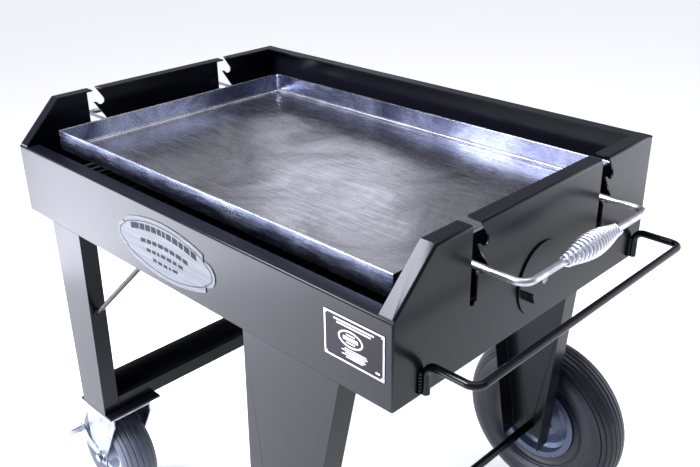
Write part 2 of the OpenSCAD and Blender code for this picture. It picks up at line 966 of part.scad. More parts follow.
module back_caster_core() {
    color(zinc) from_firebox() at_back() at_front_caster() caster_core();
}

module back_brake_pedal() {
    color(zinc) from_firebox() at_back() at_front_caster() brake_pedal();
}

// ---- the nodes ----

front_panel();
back_panel();
left_end_panel();
right_end_panel();
firebox_floor();
grate_rails();
charcoal_grate();
damper_disc();
damper_bolt();
tow_bar();
tow_bar_welds();
nameplate();
rating_plate();
front_wheel_leg();
back_wheel_leg();
front_caster_leg();
back_caster_leg();
front_brace();
back_brace();
caster_rail();
caster_mount_plates();
griddle_pan();
left_handle_rod();
right_handle_rod();
left_coil_grip();
right_coil_grip();
axle();
axle_washers();
cotter_pins();
front_tyre();
front_rim();
front_hub();
front_valve();
back_tyre();
back_rim();
back_hub();
back_valve();
caster_top_plates();
caster_plate_bolts();
front_kingpin();
front_fork();
front_caster_axle();
front_caster_tyre();
front_caster_core();
front_brake_pedal();
back_kingpin();
back_fork();
back_caster_axle();
back_caster_tyre();
back_caster_core();
back_brake_pedal();
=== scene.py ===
import json
import math

import bmesh
import bpy
from mathutils import Matrix, Vector


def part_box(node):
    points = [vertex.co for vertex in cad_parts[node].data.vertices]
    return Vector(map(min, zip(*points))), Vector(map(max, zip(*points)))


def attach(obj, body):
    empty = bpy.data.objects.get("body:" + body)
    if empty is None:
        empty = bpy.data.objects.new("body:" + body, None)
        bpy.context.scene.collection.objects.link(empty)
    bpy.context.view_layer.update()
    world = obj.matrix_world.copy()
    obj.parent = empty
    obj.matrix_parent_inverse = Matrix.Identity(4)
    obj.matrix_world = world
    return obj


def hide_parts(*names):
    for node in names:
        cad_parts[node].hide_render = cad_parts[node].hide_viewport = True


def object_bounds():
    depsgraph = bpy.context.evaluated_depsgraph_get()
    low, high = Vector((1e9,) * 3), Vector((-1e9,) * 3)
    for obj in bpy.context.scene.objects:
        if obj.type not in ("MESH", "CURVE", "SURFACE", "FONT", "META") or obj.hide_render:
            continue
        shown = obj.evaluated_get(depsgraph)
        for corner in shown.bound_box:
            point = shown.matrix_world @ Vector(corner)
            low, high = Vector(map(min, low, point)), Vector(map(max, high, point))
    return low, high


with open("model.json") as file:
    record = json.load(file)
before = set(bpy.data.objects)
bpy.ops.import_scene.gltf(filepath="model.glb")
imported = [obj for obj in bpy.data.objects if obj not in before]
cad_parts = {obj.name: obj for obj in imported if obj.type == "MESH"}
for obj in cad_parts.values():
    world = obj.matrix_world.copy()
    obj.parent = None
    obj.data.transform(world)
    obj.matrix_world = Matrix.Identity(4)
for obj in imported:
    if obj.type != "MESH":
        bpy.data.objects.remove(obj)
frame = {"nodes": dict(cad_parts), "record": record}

cad_box = [list(v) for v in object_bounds()]
NODES = frame["nodes"]
MM = 0.001

# The firebox's front left lower corner, from which lengths in mm are given below
CORNER = Vector((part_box("left_end_panel")[0].x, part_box("front_panel")[0].y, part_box("front_panel")[0].z))


def at(x, y, z):
    """A point given in mm from the firebox's corner, in metres in the CAD frame."""
    return CORNER + Vector((x, y, z)) * MM


# ---- node helpers ----

def new_material(name):
    mat = bpy.data.materials.new(name)
    mat.use_nodes = True
    tree = mat.node_tree
    return mat, tree, tree.nodes["Principled BSDF"]


def place(tree, scale=(1, 1, 1)):
    """Object coordinates, stretched by scale."""
    coords = tree.nodes.new("ShaderNodeTexCoord")
    mapping = tree.nodes.new("ShaderNodeMapping")
    mapping.inputs["Scale"].default_value = scale
    tree.links.new(coords.outputs["Object"], mapping.inputs["Vector"])
    return mapping.outputs["Vector"]


def noise(tree, vector, scale, detail=4.0, rough=0.55, distortion=0.0):
    node = tree.nodes.new("ShaderNodeTexNoise")
    node.inputs["Scale"].default_value = scale
    node.inputs["Detail"].default_value = detail
    node.inputs["Roughness"].default_value = rough
    node.inputs["Distortion"].default_value = distortion
    tree.links.new(vector, node.inputs["Vector"])
    return node.outputs["Fac"]


def ramp(tree, fac, stops):
    """Colour ramp; stops are (position, colour)."""
    node = tree.nodes.new("ShaderNodeValToRGB")
    els = node.color_ramp.elements
    while len(els) < len(stops):
        els.new(0.5)
    for el, (pos, col) in zip(els, stops):
        el.position = pos
        el.color = (*col, 1.0)
    tree.links.new(fac, node.inputs["Fac"])
    return node.outputs["Color"]


def spread(tree, fac, low, high, from_low=0.3, from_high=0.7):
    """Maps a noise to a range of values."""
    node = tree.nodes.new("ShaderNodeMapRange")
    node.inputs["From Min"].default_value = from_low
    node.inputs["From Max"].default_value = from_high
    node.inputs["To Min"].default_value = low
    node.inputs["To Max"].default_value = high
    tree.links.new(fac, node.inputs["Value"])
    return node.outputs["Result"]


def mix_colour(tree, fac, a, b):
    node = tree.nodes.new("ShaderNodeMix")
    node.data_type = "RGBA"
    tree.links.new(fac, node.inputs["Factor"])
    tree.links.new(a, node.inputs[6])
    tree.links.new(b, node.inputs[7])
    return node.outputs[2]


def bump(tree, bsdf, fac, strength, distance):
    node = tree.nodes.new("ShaderNodeBump")
    node.inputs["Strength"].default_value = strength
    node.inputs["Distance"].default_value = distance
    tree.links.new(fac, node.inputs["Height"])
    tree.links.new(node.outputs["Normal"], bsdf.inputs["Normal"])


# ---- materials ----

def powder_coat(name, dark, light, rough):
    """Satin powder coat: a fine orange peel, with faint changes of tone and gloss."""
    mat, tree, bsdf = new_material(name)
    vec = place(tree)
    bsdf.inputs["Specular IOR Level"].default_value = 0.20
    cloud = noise(tree, vec, 5.0, 6.0, 0.6)
    colour = ramp(tree, cloud, [(0.3, dark), (0.75, light)])
    tree.links.new(colour, bsdf.inputs["Base Color"])
    smear = noise(tree, vec, 16.0, 5.0, 0.6, 0.4)
    tree.links.new(spread(tree, smear, rough - 0.008, rough + 0.012), bsdf.inputs["Roughness"])
    bump(tree, bsdf, noise(tree, vec, 900.0, 2.0), 0.02, 0.0002)
    return mat


def mill_scale(name, floor_z, top_z):
    """Hot-rolled plate: blue-grey mottled walls, a browner floor, fine streaks and a painted rim highlight.
    """
    mat, tree, bsdf = new_material(name)
    bsdf.inputs["Metallic"].default_value = 1.0
    vec = place(tree)
    patches = noise(tree, vec, 7.0, 9.0, 0.62, 0.8)
    blue = ramp(tree, patches, [(0.30, (0.07, 0.08, 0.14)), (0.50, (0.25, 0.28, 0.41)),
                                (0.70, (0.56, 0.62, 0.78))])
    stains = noise(tree, vec, 4.2, 10.0, 0.66, 1.4)
    brown = ramp(tree, stains, [(0.32, (0.20, 0.20, 0.22)), (0.48, (0.42, 0.40, 0.43)),
                                (0.60, (0.52, 0.50, 0.53)), (0.75, (0.64, 0.63, 0.68))])
    sep = tree.nodes.new("ShaderNodeSeparateXYZ")
    tree.links.new(vec, sep.inputs["Vector"])
    height = spread(tree, sep.outputs["Z"], 0.0, 1.0, floor_z + 1 * MM, floor_z + 10 * MM)
    base = mix_colour(tree, height, brown, blue)
    # painted highlight: the top 1.6 mm of the walls get a lighter colour that stands in for the rim catching
    # the light
    painted_rim_highlight_mask = spread(tree, sep.outputs["Z"], 0.0, 1.0, top_z - 1.6 * MM, top_z - 0.2 * MM)
    painted_rim_highlight = ramp(tree, patches, [(0.3, (0.42, 0.44, 0.50)), (0.7, (0.75, 0.77, 0.82))])
    tree.links.new(mix_colour(tree, painted_rim_highlight_mask, base, painted_rim_highlight), bsdf.inputs["Base Color"])
    streak = noise(tree, place(tree, (5.0, 60.0, 60.0)), 3.0, 7.0, 0.6)
    tree.links.new(spread(tree, streak, 0.20, 0.34), bsdf.inputs["Roughness"])
    bump(tree, bsdf, noise(tree, vec, 120.0, 6.0, 0.6), 0.10, 0.0006)
    return mat


def bare_metal(name, dark, light, rough, scale, grit=0.12):
    """Plated or bright metal with uneven tone and fine grit."""
    mat, tree, bsdf = new_material(name)
    bsdf.inputs["Metallic"].default_value = 1.0
    vec = place(tree)
    tone = noise(tree, vec, scale, 8.0, 0.65, 0.3)
    tree.links.new(ramp(tree, tone, [(0.32, dark), (0.68, light)]), bsdf.inputs["Base Color"])
    tree.links.new(spread(tree, tone, rough + 0.08, rough - 0.06), bsdf.inputs["Roughness"])
    bump(tree, bsdf, noise(tree, vec, scale * 6.0, 4.0), grit, 0.0003)
    return mat


# Brush strokes run along X and are finest along Z
BRUSHING = (1, 8, 60)


def soft_silver(name, dark, light, rough):
    """Brushed plate under dull lacquer."""
    mat, tree, bsdf = new_material(name)
    bsdf.inputs["Metallic"].default_value = 0.55
    bsdf.inputs["Specular IOR Level"].default_value = 0.2
    brushed = noise(tree, place(tree, BRUSHING), 8.0, 8.0, 0.7)
    tree.links.new(ramp(tree, brushed, [(0.3, dark), (0.7, light)]), bsdf.inputs["Base Color"])
    tree.links.new(spread(tree, brushed, rough + 0.1, rough - 0.08), bsdf.inputs["Roughness"])
    bump(tree, bsdf, brushed, 0.10, 0.0002)
    return mat


def rubber(name, dark, light, rough):
    """Moulded rubber with a grey bloom and fine grain."""
    mat, tree, bsdf = new_material(name)
    vec = place(tree)
    bsdf.inputs["Specular IOR Level"].default_value = 0.45
    bloom = noise(tree, vec, 14.0, 7.0, 0.65)
    tree.links.new(ramp(tree, bloom, [(0.3, dark), (0.72, light)]), bsdf.inputs["Base Color"])
    tree.links.new(spread(tree, bloom, rough - 0.05, rough + 0.10), bsdf.inputs["Roughness"])
    bump(tree, bsdf, noise(tree, vec, 500.0, 4.0), 0.15, 0.0004)
    return mat


def enamel(name, dark, light, rough, metal=0.0, gloss=0.5):
    """Sprayed enamel with slight tone changes."""
    mat, tree, bsdf = new_material(name)
    vec = place(tree)
    bsdf.inputs["Metallic"].default_value = metal
    bsdf.inputs["Specular IOR Level"].default_value = gloss
    tone = noise(tree, vec, 11.0, 6.0, 0.6)
    tree.links.new(ramp(tree, tone, [(0.3, dark), (0.7, light)]), bsdf.inputs["Base Color"])
    tree.links.new(spread(tree, tone, rough, rough + 0.08), bsdf.inputs["Roughness"])
    bump(tree, bsdf, noise(tree, vec, 400.0, 3.0), 0.06, 0.0003)
    return mat


pan_lo, pan_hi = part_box("griddle_pan")
PAN_PLATE = 5 * MM
MATERIALS = {
    "painted_steel": powder_coat("powder_coat", (0.0035, 0.0036, 0.0060), (0.0055, 0.0057, 0.0090), 0.24),
    "tow_paint": powder_coat("glossy_powder_coat", (0.0035, 0.0036, 0.0058), (0.006, 0.006, 0.009), 0.17),
    "raw_steel": mill_scale("mill_scale", pan_lo.z + PAN_PLATE, pan_hi.z),
    "grate_steel": bare_metal("grate_steel", (0.05, 0.05, 0.055), (0.14, 0.14, 0.15), 0.5, 30.0),
    "rod_steel": bare_metal("galvanised_rod", (0.36, 0.36, 0.39), (0.72, 0.72, 0.75), 0.36, 45.0),
    "grip_coil": bare_metal("plated_wire", (0.66, 0.67, 0.74), (0.86, 0.87, 0.93), 0.34, 60.0, grit=0.05),
    "brushed_plate": soft_silver("brushed_plate", (0.085, 0.09, 0.10), (0.155, 0.16, 0.175), 0.55),
    "zinc_plate": bare_metal("zinc_plate", (0.17, 0.19, 0.23), (0.40, 0.43, 0.49), 0.32, 38.0),
    "weld_bright": bare_metal("bright_weld", (0.45, 0.45, 0.48), (0.85, 0.85, 0.90), 0.32, 150.0, grit=0.4),
    "tyre_rubber": rubber("tyre_rubber", (0.003, 0.004, 0.010), (0.012, 0.015, 0.030), 0.34),
    "caster_rubber": rubber("caster_rubber", (0.030, 0.035, 0.053), (0.062, 0.070, 0.100), 0.45),
    "rim_paint": enamel("rim_enamel", (0.060, 0.078, 0.135), (0.110, 0.135, 0.215), 0.24, 0.35),
    "caster_core": enamel("caster_core", (0.24, 0.27, 0.34), (0.36, 0.39, 0.47), 0.35),
    "label_black": enamel("label_black", (0.006, 0.006, 0.010), (0.010, 0.010, 0.015), 0.35, gloss=0.12),
    "label_white": enamel("label_white", (0.62, 0.62, 0.64), (0.80, 0.80, 0.82), 0.45),
    "plate_ink": enamel("plate_ink", (0.010, 0.010, 0.014), (0.022, 0.022, 0.028), 0.55, gloss=0.08),
    "plate_line": soft_silver("plate_line", (0.02, 0.021, 0.024), (0.04, 0.042, 0.047), 0.55),
}


# ---- mesh helpers ----

WELD_DISTANCE = 2e-7
EDGE_ANGLE = math.radians(28)


def edge_bevel(obj, width):
    """Joins a CAD mesh's faces and rounds its sharp edges a little, so that they catch light."""
    weld = obj.modifiers.new("join", "WELD")
    weld.merge_threshold = WELD_DISTANCE
    mod = obj.modifiers.new("edge", "BEVEL")
    mod.width = width
    mod.segments = 2
    mod.limit_method = "ANGLE"
    mod.angle_limit = EDGE_ANGLE
    mod.harden_normals = True


def paint_node(name, material):
    obj = NODES[name]
    obj.data.materials.clear()
    obj.data.materials.append(material)


def smooth_faces(mesh):
    mesh.polygons.foreach_set("use_smooth", [True] * len(mesh.polygons))
    mesh.update()


def piece(name, verts, faces, material, body, angle=35.0):
    """A new mesh piece that rides on a body."""
    mesh = bpy.data.meshes.new(name)
    mesh.from_pydata([tuple(v) for v in verts], [], faces)
    mesh.validate()
    bm = bmesh.new()
    bm.from_mesh(mesh)
    bmesh.ops.recalc_face_normals(bm, faces=bm.faces)
    bm.to_mesh(mesh)
    bm.free()
    mesh.materials.append(material)
    smooth_faces(mesh)
    mesh.set_sharp_from_angle(angle=math.radians(angle))
    obj = bpy.data.objects.new(name, mesh)
    bpy.context.scene.collection.objects.link(obj)
    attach(obj, body)
    return obj


def swept(points, radius, sides=12, closed=False):
    """Tube along points; radius is one number or one for each point."""
    count = len(points)
    radii = radius if isinstance(radius, list) else [radius] * count
    verts, faces = [], []
    normal = None
    for i, p in enumerate(points):
        before = points[(i - 1) % count] if closed or i else p
        after = points[(i + 1) % count] if closed or i < count - 1 else p
        tangent = (after - before).normalized()
        if normal is None:
            side = Vector((0, 0, 1)) if abs(tangent.z) < 0.9 else Vector((1, 0, 0))
            normal = tangent.cross(side).normalized()
        normal = (normal - tangent * normal.dot(tangent)).normalized()
        binormal = tangent.cross(normal)
        for k in range(sides):
            a = 2 * math.pi * k / sides
            verts.append(p + (normal * math.cos(a) + binormal * math.sin(a)) * radii[i])
    for i in range(count if closed else count - 1):
        j = (i + 1) % count
        for k in range(sides):
            m = (k + 1) % sides
            faces.append((i * sides + k, i * sides + m, j * sides + m, j * sides + k))
    if not closed:
        faces.append(tuple(range(sides - 1, -1, -1)))
        faces.append(tuple((count - 1) * sides + k for k in range(sides)))
    return verts, faces


def turned(centre, profile, steps):
    """Closed profile of (radius, y) in metres, turned about the Y axis through centre."""
    verts, faces = [], []
    n = len(profile)
    for i in range(steps):
        a = 2 * math.pi * i / steps
        for r, y in profile:
            verts.append(centre + Vector((r * math.cos(a), y, r * math.sin(a))))
    for i in range(steps):
        j = (i + 1) % steps
        for k in range(n):
            m = (k + 1) % n
            faces.append((i * n + k, i * n + m, j * n + m, j * n + k))
    return verts, faces


def joined(parts):
    """One vertex and face list from several."""
    verts, faces = [], []
    for v, f in parts:
        base = len(verts)
        verts += list(v)
        faces += [tuple(i + base for i in face) for face in f]
    return verts, faces


def plate(outline, y_back, thickness):
    """Flat shape in X and Z (mm), its back on y_back, standing out towards -Y."""
    n = len(outline)
    verts = [at(x, y_back, z) for x, z in outline]
    verts += [at(x, y_back - thickness, z) for x, z in outline]
    faces = [tuple(range(n)), tuple(range(2 * n - 1, n - 1, -1))]
    faces += [(i, (i + 1) % n, n + (i + 1) % n, n + i) for i in range(n)]
    return verts, faces


def band(outer, inner, y_back, thickness):
    """Ring between two outlines with the same number of points, as plate()."""
    n = len(outer)
    verts = [at(x, y_back, z) for x, z in outer + inner]
    verts += [at(x, y_back - thickness, z) for x, z in outer + inner]
    faces = []
    for i in range(n):
        j = (i + 1) % n
        faces.append((i, j, n + j, n + i))
        faces.append((2 * n + i, 3 * n + i, 3 * n + j, 2 * n + j))
        faces.append((i, 2 * n + i, 2 * n + j, j))
        faces.append((n + i, n + j, 3 * n + j, 3 * n + i))
    return verts, faces


def bead_row(start, end, radius, pitch):
    """Overlapping weld ripples from start to end."""
    length = (end - start).length
    ripples = max(2, int(length / pitch))
    rings_each = 4
    valley = 0.78
    end_size, end_slope = 0.45, 4.0
    steps = ripples * rings_each
    points, radii = [], []
    for i in range(steps + 1):
        t = i / steps
        points.append(start.lerp(end, t))
        ripple = valley + (1 - valley) * abs(math.sin(math.pi * i / rings_each))
        tip = min(1.0, end_size + end_slope * min(t, 1 - t))
        radii.append(radius * ripple * tip)
    return swept(points, radii, 10)


# ---- CAD nodes that stay ----

for row in frame["record"]["subparts"]:
    paint_node(row["node"], MATERIALS[row["material_slot"]])
paint_node("tow_bar", MATERIALS["tow_paint"])
paint_node("tow_bar_welds", MATERIALS["tow_paint"])

PANEL_EDGE = 0.9 * MM
SMALL_EDGE = 0.5 * MM
for name in ("front_panel", "back_panel", "left_end_panel", "right_end_panel", "front_wheel_leg",
             "back_wheel_leg", "front_caster_leg", "back_caster_leg", "caster_rail", "griddle_pan",
             "caster_mount_plates"):
    edge_bevel(NODES[name], PANEL_EDGE)
for name in ("damper_disc", "front_fork", "back_fork", "front_brake_pedal", "back_brake_pedal",
             "caster_top_plates", "axle_washers", "damper_bolt", "caster_plate_bolts",
             "front_caster_axle", "back_caster_axle", "front_caster_core", "back_caster_core",
             "front_rim", "back_rim", "front_hub", "back_hub"):
    edge_bevel(NODES[name], SMALL_EDGE)


# ---- coil grips ----

COIL_WIRE_R = 2.45 * MM
COIL_END_R = 11.45 * MM
COIL_TURNS = 17
# The share of a cubic that sets the turns a little wider apart at the ends, and the swell's power
COIL_SPREAD = 0.10
COIL_SWELL_POWER = 1.5


def coil_grip(side):
    """Spring of round wire, wide in the middle."""
    lo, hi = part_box(side + "_coil_grip")
    end_r = COIL_END_R - COIL_WIRE_R
    mid_r = (hi.z - lo.z) / 2 - COIL_WIRE_R
    centre = (lo + hi) / 2
    half = (hi.y - lo.y) / 2 - COIL_WIRE_R
    steps = COIL_TURNS * 28
    points = []
    for i in range(steps + 1):
        t = i / steps
        s = t * 2 - 1
        along = s * (1 - COIL_SPREAD) + COIL_SPREAD * s ** 3
        swell = max(0.0, math.cos(math.pi / 2 * along)) ** COIL_SWELL_POWER
        r = end_r + (mid_r - end_r) * swell
        a = 2 * math.pi * COIL_TURNS * t
        points.append(centre + Vector((r * math.cos(a), along * half, r * math.sin(a))))
    verts, faces = swept(points, COIL_WIRE_R, 10)
    obj = piece(side + "_spring", verts, faces, MATERIALS["grip_coil"], "griddle", 60)
    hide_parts(side + "_coil_grip")


coil_grip("left")
coil_grip("right")


# ---- tyres ----

# Half a groove's width as a share of one rib's pitch
GROOVE_SHARE = 0.16
# Depth of the thin lines round the sidewalls, and their half width in degrees of the section
LINE_DEPTH = 0.6 * MM
LINE_HALF_DEG = 1.6


def tread_depth(angle, reach, ribs, depth):
    """How far the surface lies below the ribs' tops at an angle from the tyre's crown."""
    if abs(angle) > reach:
        return 0.0
    phase = ((angle + reach) / (2 * reach) * ribs) % 1.0
    edge = min(phase, 1 - phase)
    return depth * max(0.0, 1 - (edge / GROOVE_SHARE) ** 2)


def tyre_profile(outer_r, section_w, inner_r, lip_half, ribs, reach_deg, depth, sidewall_lines):
    """Closed (radius, y) profile of a tyre with ribs on its crown."""
    tube = section_w / 2
    ring_r = outer_r - tube
    reach = math.radians(reach_deg)
    at_lip = math.pi - math.asin(min(1.0, lip_half / tube))
    at_inner_r = math.acos(max(-1.0, min(1.0, (inner_r - ring_r) / tube)))
    stop = min(at_inner_r, at_lip)
    points = []
    steps = 220
    for i in range(steps + 1):
        a = -stop + 2 * stop * i / steps
        r = tube - tread_depth(a, reach, ribs, depth)
        for line_deg in sidewall_lines:
            off = (abs(math.degrees(a)) - line_deg) / LINE_HALF_DEG
            r -= LINE_DEPTH * math.exp(-off * off)
        points.append((ring_r + r * math.cos(a), r * math.sin(a)))
    points.append((inner_r, lip_half))
    points.append((inner_r, -lip_half))
    return points


def tyre(node, slot, body, steps, **shape):
    """Ribbed tyre in a CAD tyre's place; shape is what tyre_profile() takes beside the tyre's size."""
    lo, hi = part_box(node)
    profile = tyre_profile((hi.z - lo.z) / 2, hi.y - lo.y, **shape)
    verts, faces = turned((lo + hi) / 2, profile, steps)
    obj = piece(node + "_ribbed", verts, faces, MATERIALS[slot], body, 50)
    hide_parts(node)


for side in ("front", "back"):
    tyre(side + "_tyre", "tyre_rubber", side + "_wheel", 160, inner_r=90 * MM, lip_half=34 * MM,
         ribs=9, reach_deg=62, depth=2.6 * MM, sidewall_lines=(100, 128, 134))
    tyre(side + "_caster_tyre", "caster_rubber", side + "_roller", 128, inner_r=56 * MM, lip_half=26 * MM,
         ribs=7, reach_deg=66, depth=2.2 * MM, sidewall_lines=(104, 122))


# ---- plates on the front panel ----

def in_mm(point):
    """A point of the CAD frame in mm from the firebox's corner."""
    return (point - CORNER) / MM


# The plate's ears: radius in mm, and half the angle of the arc that shows
EAR_R = 24
EAR_HALF_ANGLE = math.radians(62)
# The arch: its share of the plate's half length, and how far it drops to its ends in mm
ARCH_SHARE = 0.8
ARCH_DROP = 20.5


def badge_outline(centre, half_l, half_h, inset):
    """Arched outline with round ears, drawn inside the plate by an inset."""
    ear = EAR_R - inset
    ear_x = half_l - EAR_R
    arch_l = half_l * ARCH_SHARE - inset * 0.9
    top = half_h - inset
    end_h = top - ARCH_DROP
    arch_steps, ear_steps = 14, 8
    half_outline = []
    for i in range(arch_steps + 1):
        s = -1 + 2 * i / arch_steps
        half_outline.append((s * arch_l, end_h + (top - end_h) * (1 - s * s)))
    for i in range(ear_steps + 1):
        a = EAR_HALF_ANGLE * (1 - 2 * i / ear_steps)
        half_outline.append((ear_x + ear * math.cos(a), ear * math.sin(a)))
    other_half = [(-x, -z) for x, z in half_outline]
    return [(centre.x + x, centre.z + z) for x, z in half_outline + other_half]


def dashes(centre, half_l, z, height, sag, cuts):
    """Row of plain blocks along an arched bar; cuts are their lengths in turn."""
    gap = 2.2
    scale = 2 * half_l / (sum(cuts) + (len(cuts) - 1) * gap)
    steps = 4
    parts, start = [], -half_l
    for cut in cuts:
        top = []
        for k in range(steps + 1):
            x = start + cut * scale * k / steps
            top.append((x, z + height / 2 + sag * (1 - (x / half_l) ** 2)))
        low = [(x, h - height) for x, h in reversed(top)]
        parts.append([(centre.x + x, centre.z + h) for x, h in top + low])
        start += (cut + gap) * scale
    return parts


# How deep a printed or raised shape's back sits in its plate, in mm
SUNK = 0.05


def nameplate_detail():
    """Border line and rows of plain blocks on the silver plate."""
    lo, hi = (in_mm(p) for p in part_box("nameplate"))
    centre = (lo + hi) / 2
    half_l, half_h = (hi.x - lo.x) / 2, (hi.z - lo.z) / 2
    back = lo.y + SUNK
    raised = 0.35
    border_at, border_w = 7.0, 1.8
    verts, faces = band(badge_outline(centre, half_l, half_h, border_at),
                        badge_outline(centre, half_l, half_h, border_at + border_w), back, raised)
    piece("nameplate_border", verts, faces, MATERIALS["plate_line"], "frame")
    # half length, height on the plate, block height, bow and block lengths of each row
    rows = [(100, 24.0, 12.0, 13.0, (16, 9, 9, 9, 7, 5, 9, 9, 7, 9, 9)),
            (72, 3.0, 8.0, 6.0, (8, 7, 7, 8, 6, 7, 8, 7)),
            (56, -12.0, 6.5, 2.0, (6, 5, 3, 6, 6, 5, 6)),
            (38, -27.0, 6.0, -1.0, (5, 6, 5, 3, 7))]
    bars = []
    for half, z, height, sag, cuts in rows:
        for outline in dashes(centre, half, z, height, sag, cuts):
            bars.append(plate(outline, back, raised))
    verts, faces = joined(bars)
    piece("nameplate_bars", verts, faces, MATERIALS["plate_ink"], "frame")


def rectangle(x0, z0, x1, z1):
    return [(x0, z0), (x1, z0), (x1, z1), (x0, z1)]


def centred(x, z, half_l, half_h):
    return rectangle(x - half_l, z - half_h, x + half_l, z + half_h)


def notched(x0, z0, x1, z1, cut):
    """Rectangle whose corners step inwards."""
    return [(x0 + cut, z0), (x1 - cut, z0), (x1 - cut, z0 + cut), (x1, z0 + cut),
            (x1, z1 - cut), (x1 - cut, z1 - cut), (x1 - cut, z1), (x0 + cut, z1),
            (x0 + cut, z1 - cut), (x0, z1 - cut), (x0, z0 + cut), (x0 + cut, z0 + cut)]


def edge_points(x0, z0, x1, z1, cut):
    """Plain rectangle with as many points as notched(), in the same order."""
    return [(x0 + cut, z0), (x1 - cut, z0), (x1, z0), (x1, z0 + cut),
            (x1, z1 - cut), (x1, z1), (x1 - cut, z1), (x0 + cut, z1),
            (x0, z1), (x0, z1 - cut), (x0, z0 + cut), (x0, z0)]


def oval(x, z, half_l, half_h):
    steps = 40
    turns = [2 * math.pi * i / steps for i in range(steps)]
    return [(x + half_l * math.cos(a), z + half_h * math.sin(a)) for a in turns]


def label_detail():
    """White border, bars and an oval on the black label."""
    lo, hi = (in_mm(p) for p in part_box("rating_plate"))
    back = lo.y + SUNK
    raised = 0.2
    rim, line, cut = 0.5, 3.2, 3.0
    parts = [band(edge_points(lo.x + rim, lo.z + rim, hi.x - rim, hi.z - rim, line + cut),
                  notched(lo.x + line, lo.z + line, hi.x - line, hi.z - line, cut), back, raised)]
    mid_x = (lo.x + hi.x) / 2
    # height on the label, bar height, half length and shift of each row
    rows = [(66.5, 2.6, 40, 0), (61.5, 2.6, 34, 0), (24.5, 1.5, 22, 4), (21.0, 1.5, 26, 2),
            (17.5, 1.5, 20, 3), (14.0, 1.5, 24, 0), (10.5, 1.5, 17, 2)]
    outlines = [rectangle(mid_x - half + shift, lo.z + z, mid_x + half + shift, lo.z + z + height)
                for z, height, half, shift in rows]
    oval_x, oval_z = mid_x - 6, lo.z + 43
    parts.append(band(oval(oval_x, oval_z, 25, 14), oval(oval_x, oval_z, 22, 11.2), back, raised))
    outlines.append(centred(oval_x, oval_z, 15, 3.0))
    outlines += [centred(oval_x, oval_z + shift, 9, 1) for shift in (-6.5, 6.5)]
    outlines.append(centred(hi.x - 13, lo.z + 10.5, 4, 1.5))
    parts += [plate(outline, back, raised) for outline in outlines]
    verts, faces = joined(parts)
    piece("rating_plate_print", verts, faces, MATERIALS["label_white"], "frame")


nameplate_detail()
label_detail()


# ---- welds ----

def pan_welds():
    """Bright ground welds up the pan's corners, inside."""
    bead_r, pitch = 3.4 * MM, 5.5 * MM
    inset = PAN_PLATE + 1.2 * MM
    low = pan_lo.z + PAN_PLATE + 5 * MM
    top = pan_hi.z - 2 * MM
    parts = []
    for x in (pan_lo.x + inset, pan_hi.x - inset):
        for y in (pan_lo.y + inset, pan_hi.y - inset):
            parts.append(bead_row(Vector((x, y, low)), Vector((x, y, top)), bead_r, pitch))
    verts, faces = joined(parts)
    piece("pan_corner_welds", verts, faces, MATERIALS["weld_bright"], "griddle", 80)


def circle_points(centre, radius_y, radius_z, steps):
    """Points on an ellipse that faces along X."""
    turns = [2 * math.pi * i / steps for i in range(steps)]
    return [centre + Vector((0, radius_y * math.cos(a), radius_z * math.sin(a))) for a in turns]


def rod_welds():
    """Beads round the handle rods where they meet the pan's ends."""
    rod_r = 6.35 * MM
    ring_r = rod_r + 1.2 * MM
    stand_out = 1.6 * MM
    steps = 32
    radii = [MM * (2.2 + 0.5 * abs(math.sin(8 * math.pi * i / steps))) for i in range(steps)]
    parts = []
    for node, x in (("left_handle_rod", pan_lo.x - stand_out), ("right_handle_rod", pan_hi.x + stand_out)):
        lo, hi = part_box(node)
        for y in (lo.y + rod_r, hi.y - rod_r):
            ring = circle_points(Vector((x, y, (lo.z + hi.z) / 2)), ring_r, ring_r, steps)
            parts.append(swept(ring, radii, 8, True))
    verts, faces = joined(parts)
    piece("rod_end_welds", verts, faces, MATERIALS["weld_bright"], "griddle", 80)


def frame_welds():
    """Painted fillets where the legs, the rail and the braces meet the steel beside them."""
    bead_r, pitch = 2.6 * MM, 5 * MM
    brace_bead_r = 1.9 * MM
    rail_lo, rail_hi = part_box("caster_rail")
    parts = []
    for side in ("front", "back"):
        leg_lo, leg_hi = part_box(side + "_caster_leg")
        y = leg_hi.y if side == "front" else leg_lo.y

        def beside_leg(x, height):
            return Vector((x, y, leg_lo.z + height * MM))

        upright_x = rail_hi.x - 1 * MM
        parts.append(bead_row(beside_leg(upright_x, 3), beside_leg(upright_x, 29), bead_r, pitch))
        parts.append(bead_row(beside_leg(rail_lo.x + 4 * MM, 34), beside_leg(rail_hi.x - 6 * MM, 34),
                              bead_r, pitch))
        brace_lo, brace_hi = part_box(side + "_brace")
        foot = Vector((brace_lo.x + 1.2 * MM, (brace_lo.y + brace_hi.y) / 2, brace_lo.z + 8 * MM))
        parts.append(swept(circle_points(foot, 6.2 * MM, 7.6 * MM, 24), brace_bead_r, 8, True))
    verts, faces = joined(parts)
    piece("frame_welds", verts, faces, MATERIALS["tow_paint"], "frame", 80)


pan_welds()
rod_welds()
frame_welds()


# ---- wheel details ----

FLANGE_BORE_R = 17.2 * MM
FLANGE_R = 42 * MM
BOLT_CIRCLE_R = 31 * MM
# Radii of a bolt's head: at the flange, at the chamfer and on top
BOLT_HEAD_RADII = [6.4 * MM, 6.4 * MM, 5.2 * MM]
# How far the rim's disc stands from the wheel's middle towards the firebox, and half its thickness
DISC_OFFSET = 5.5 * MM
DISC_HALF = 2.6 * MM


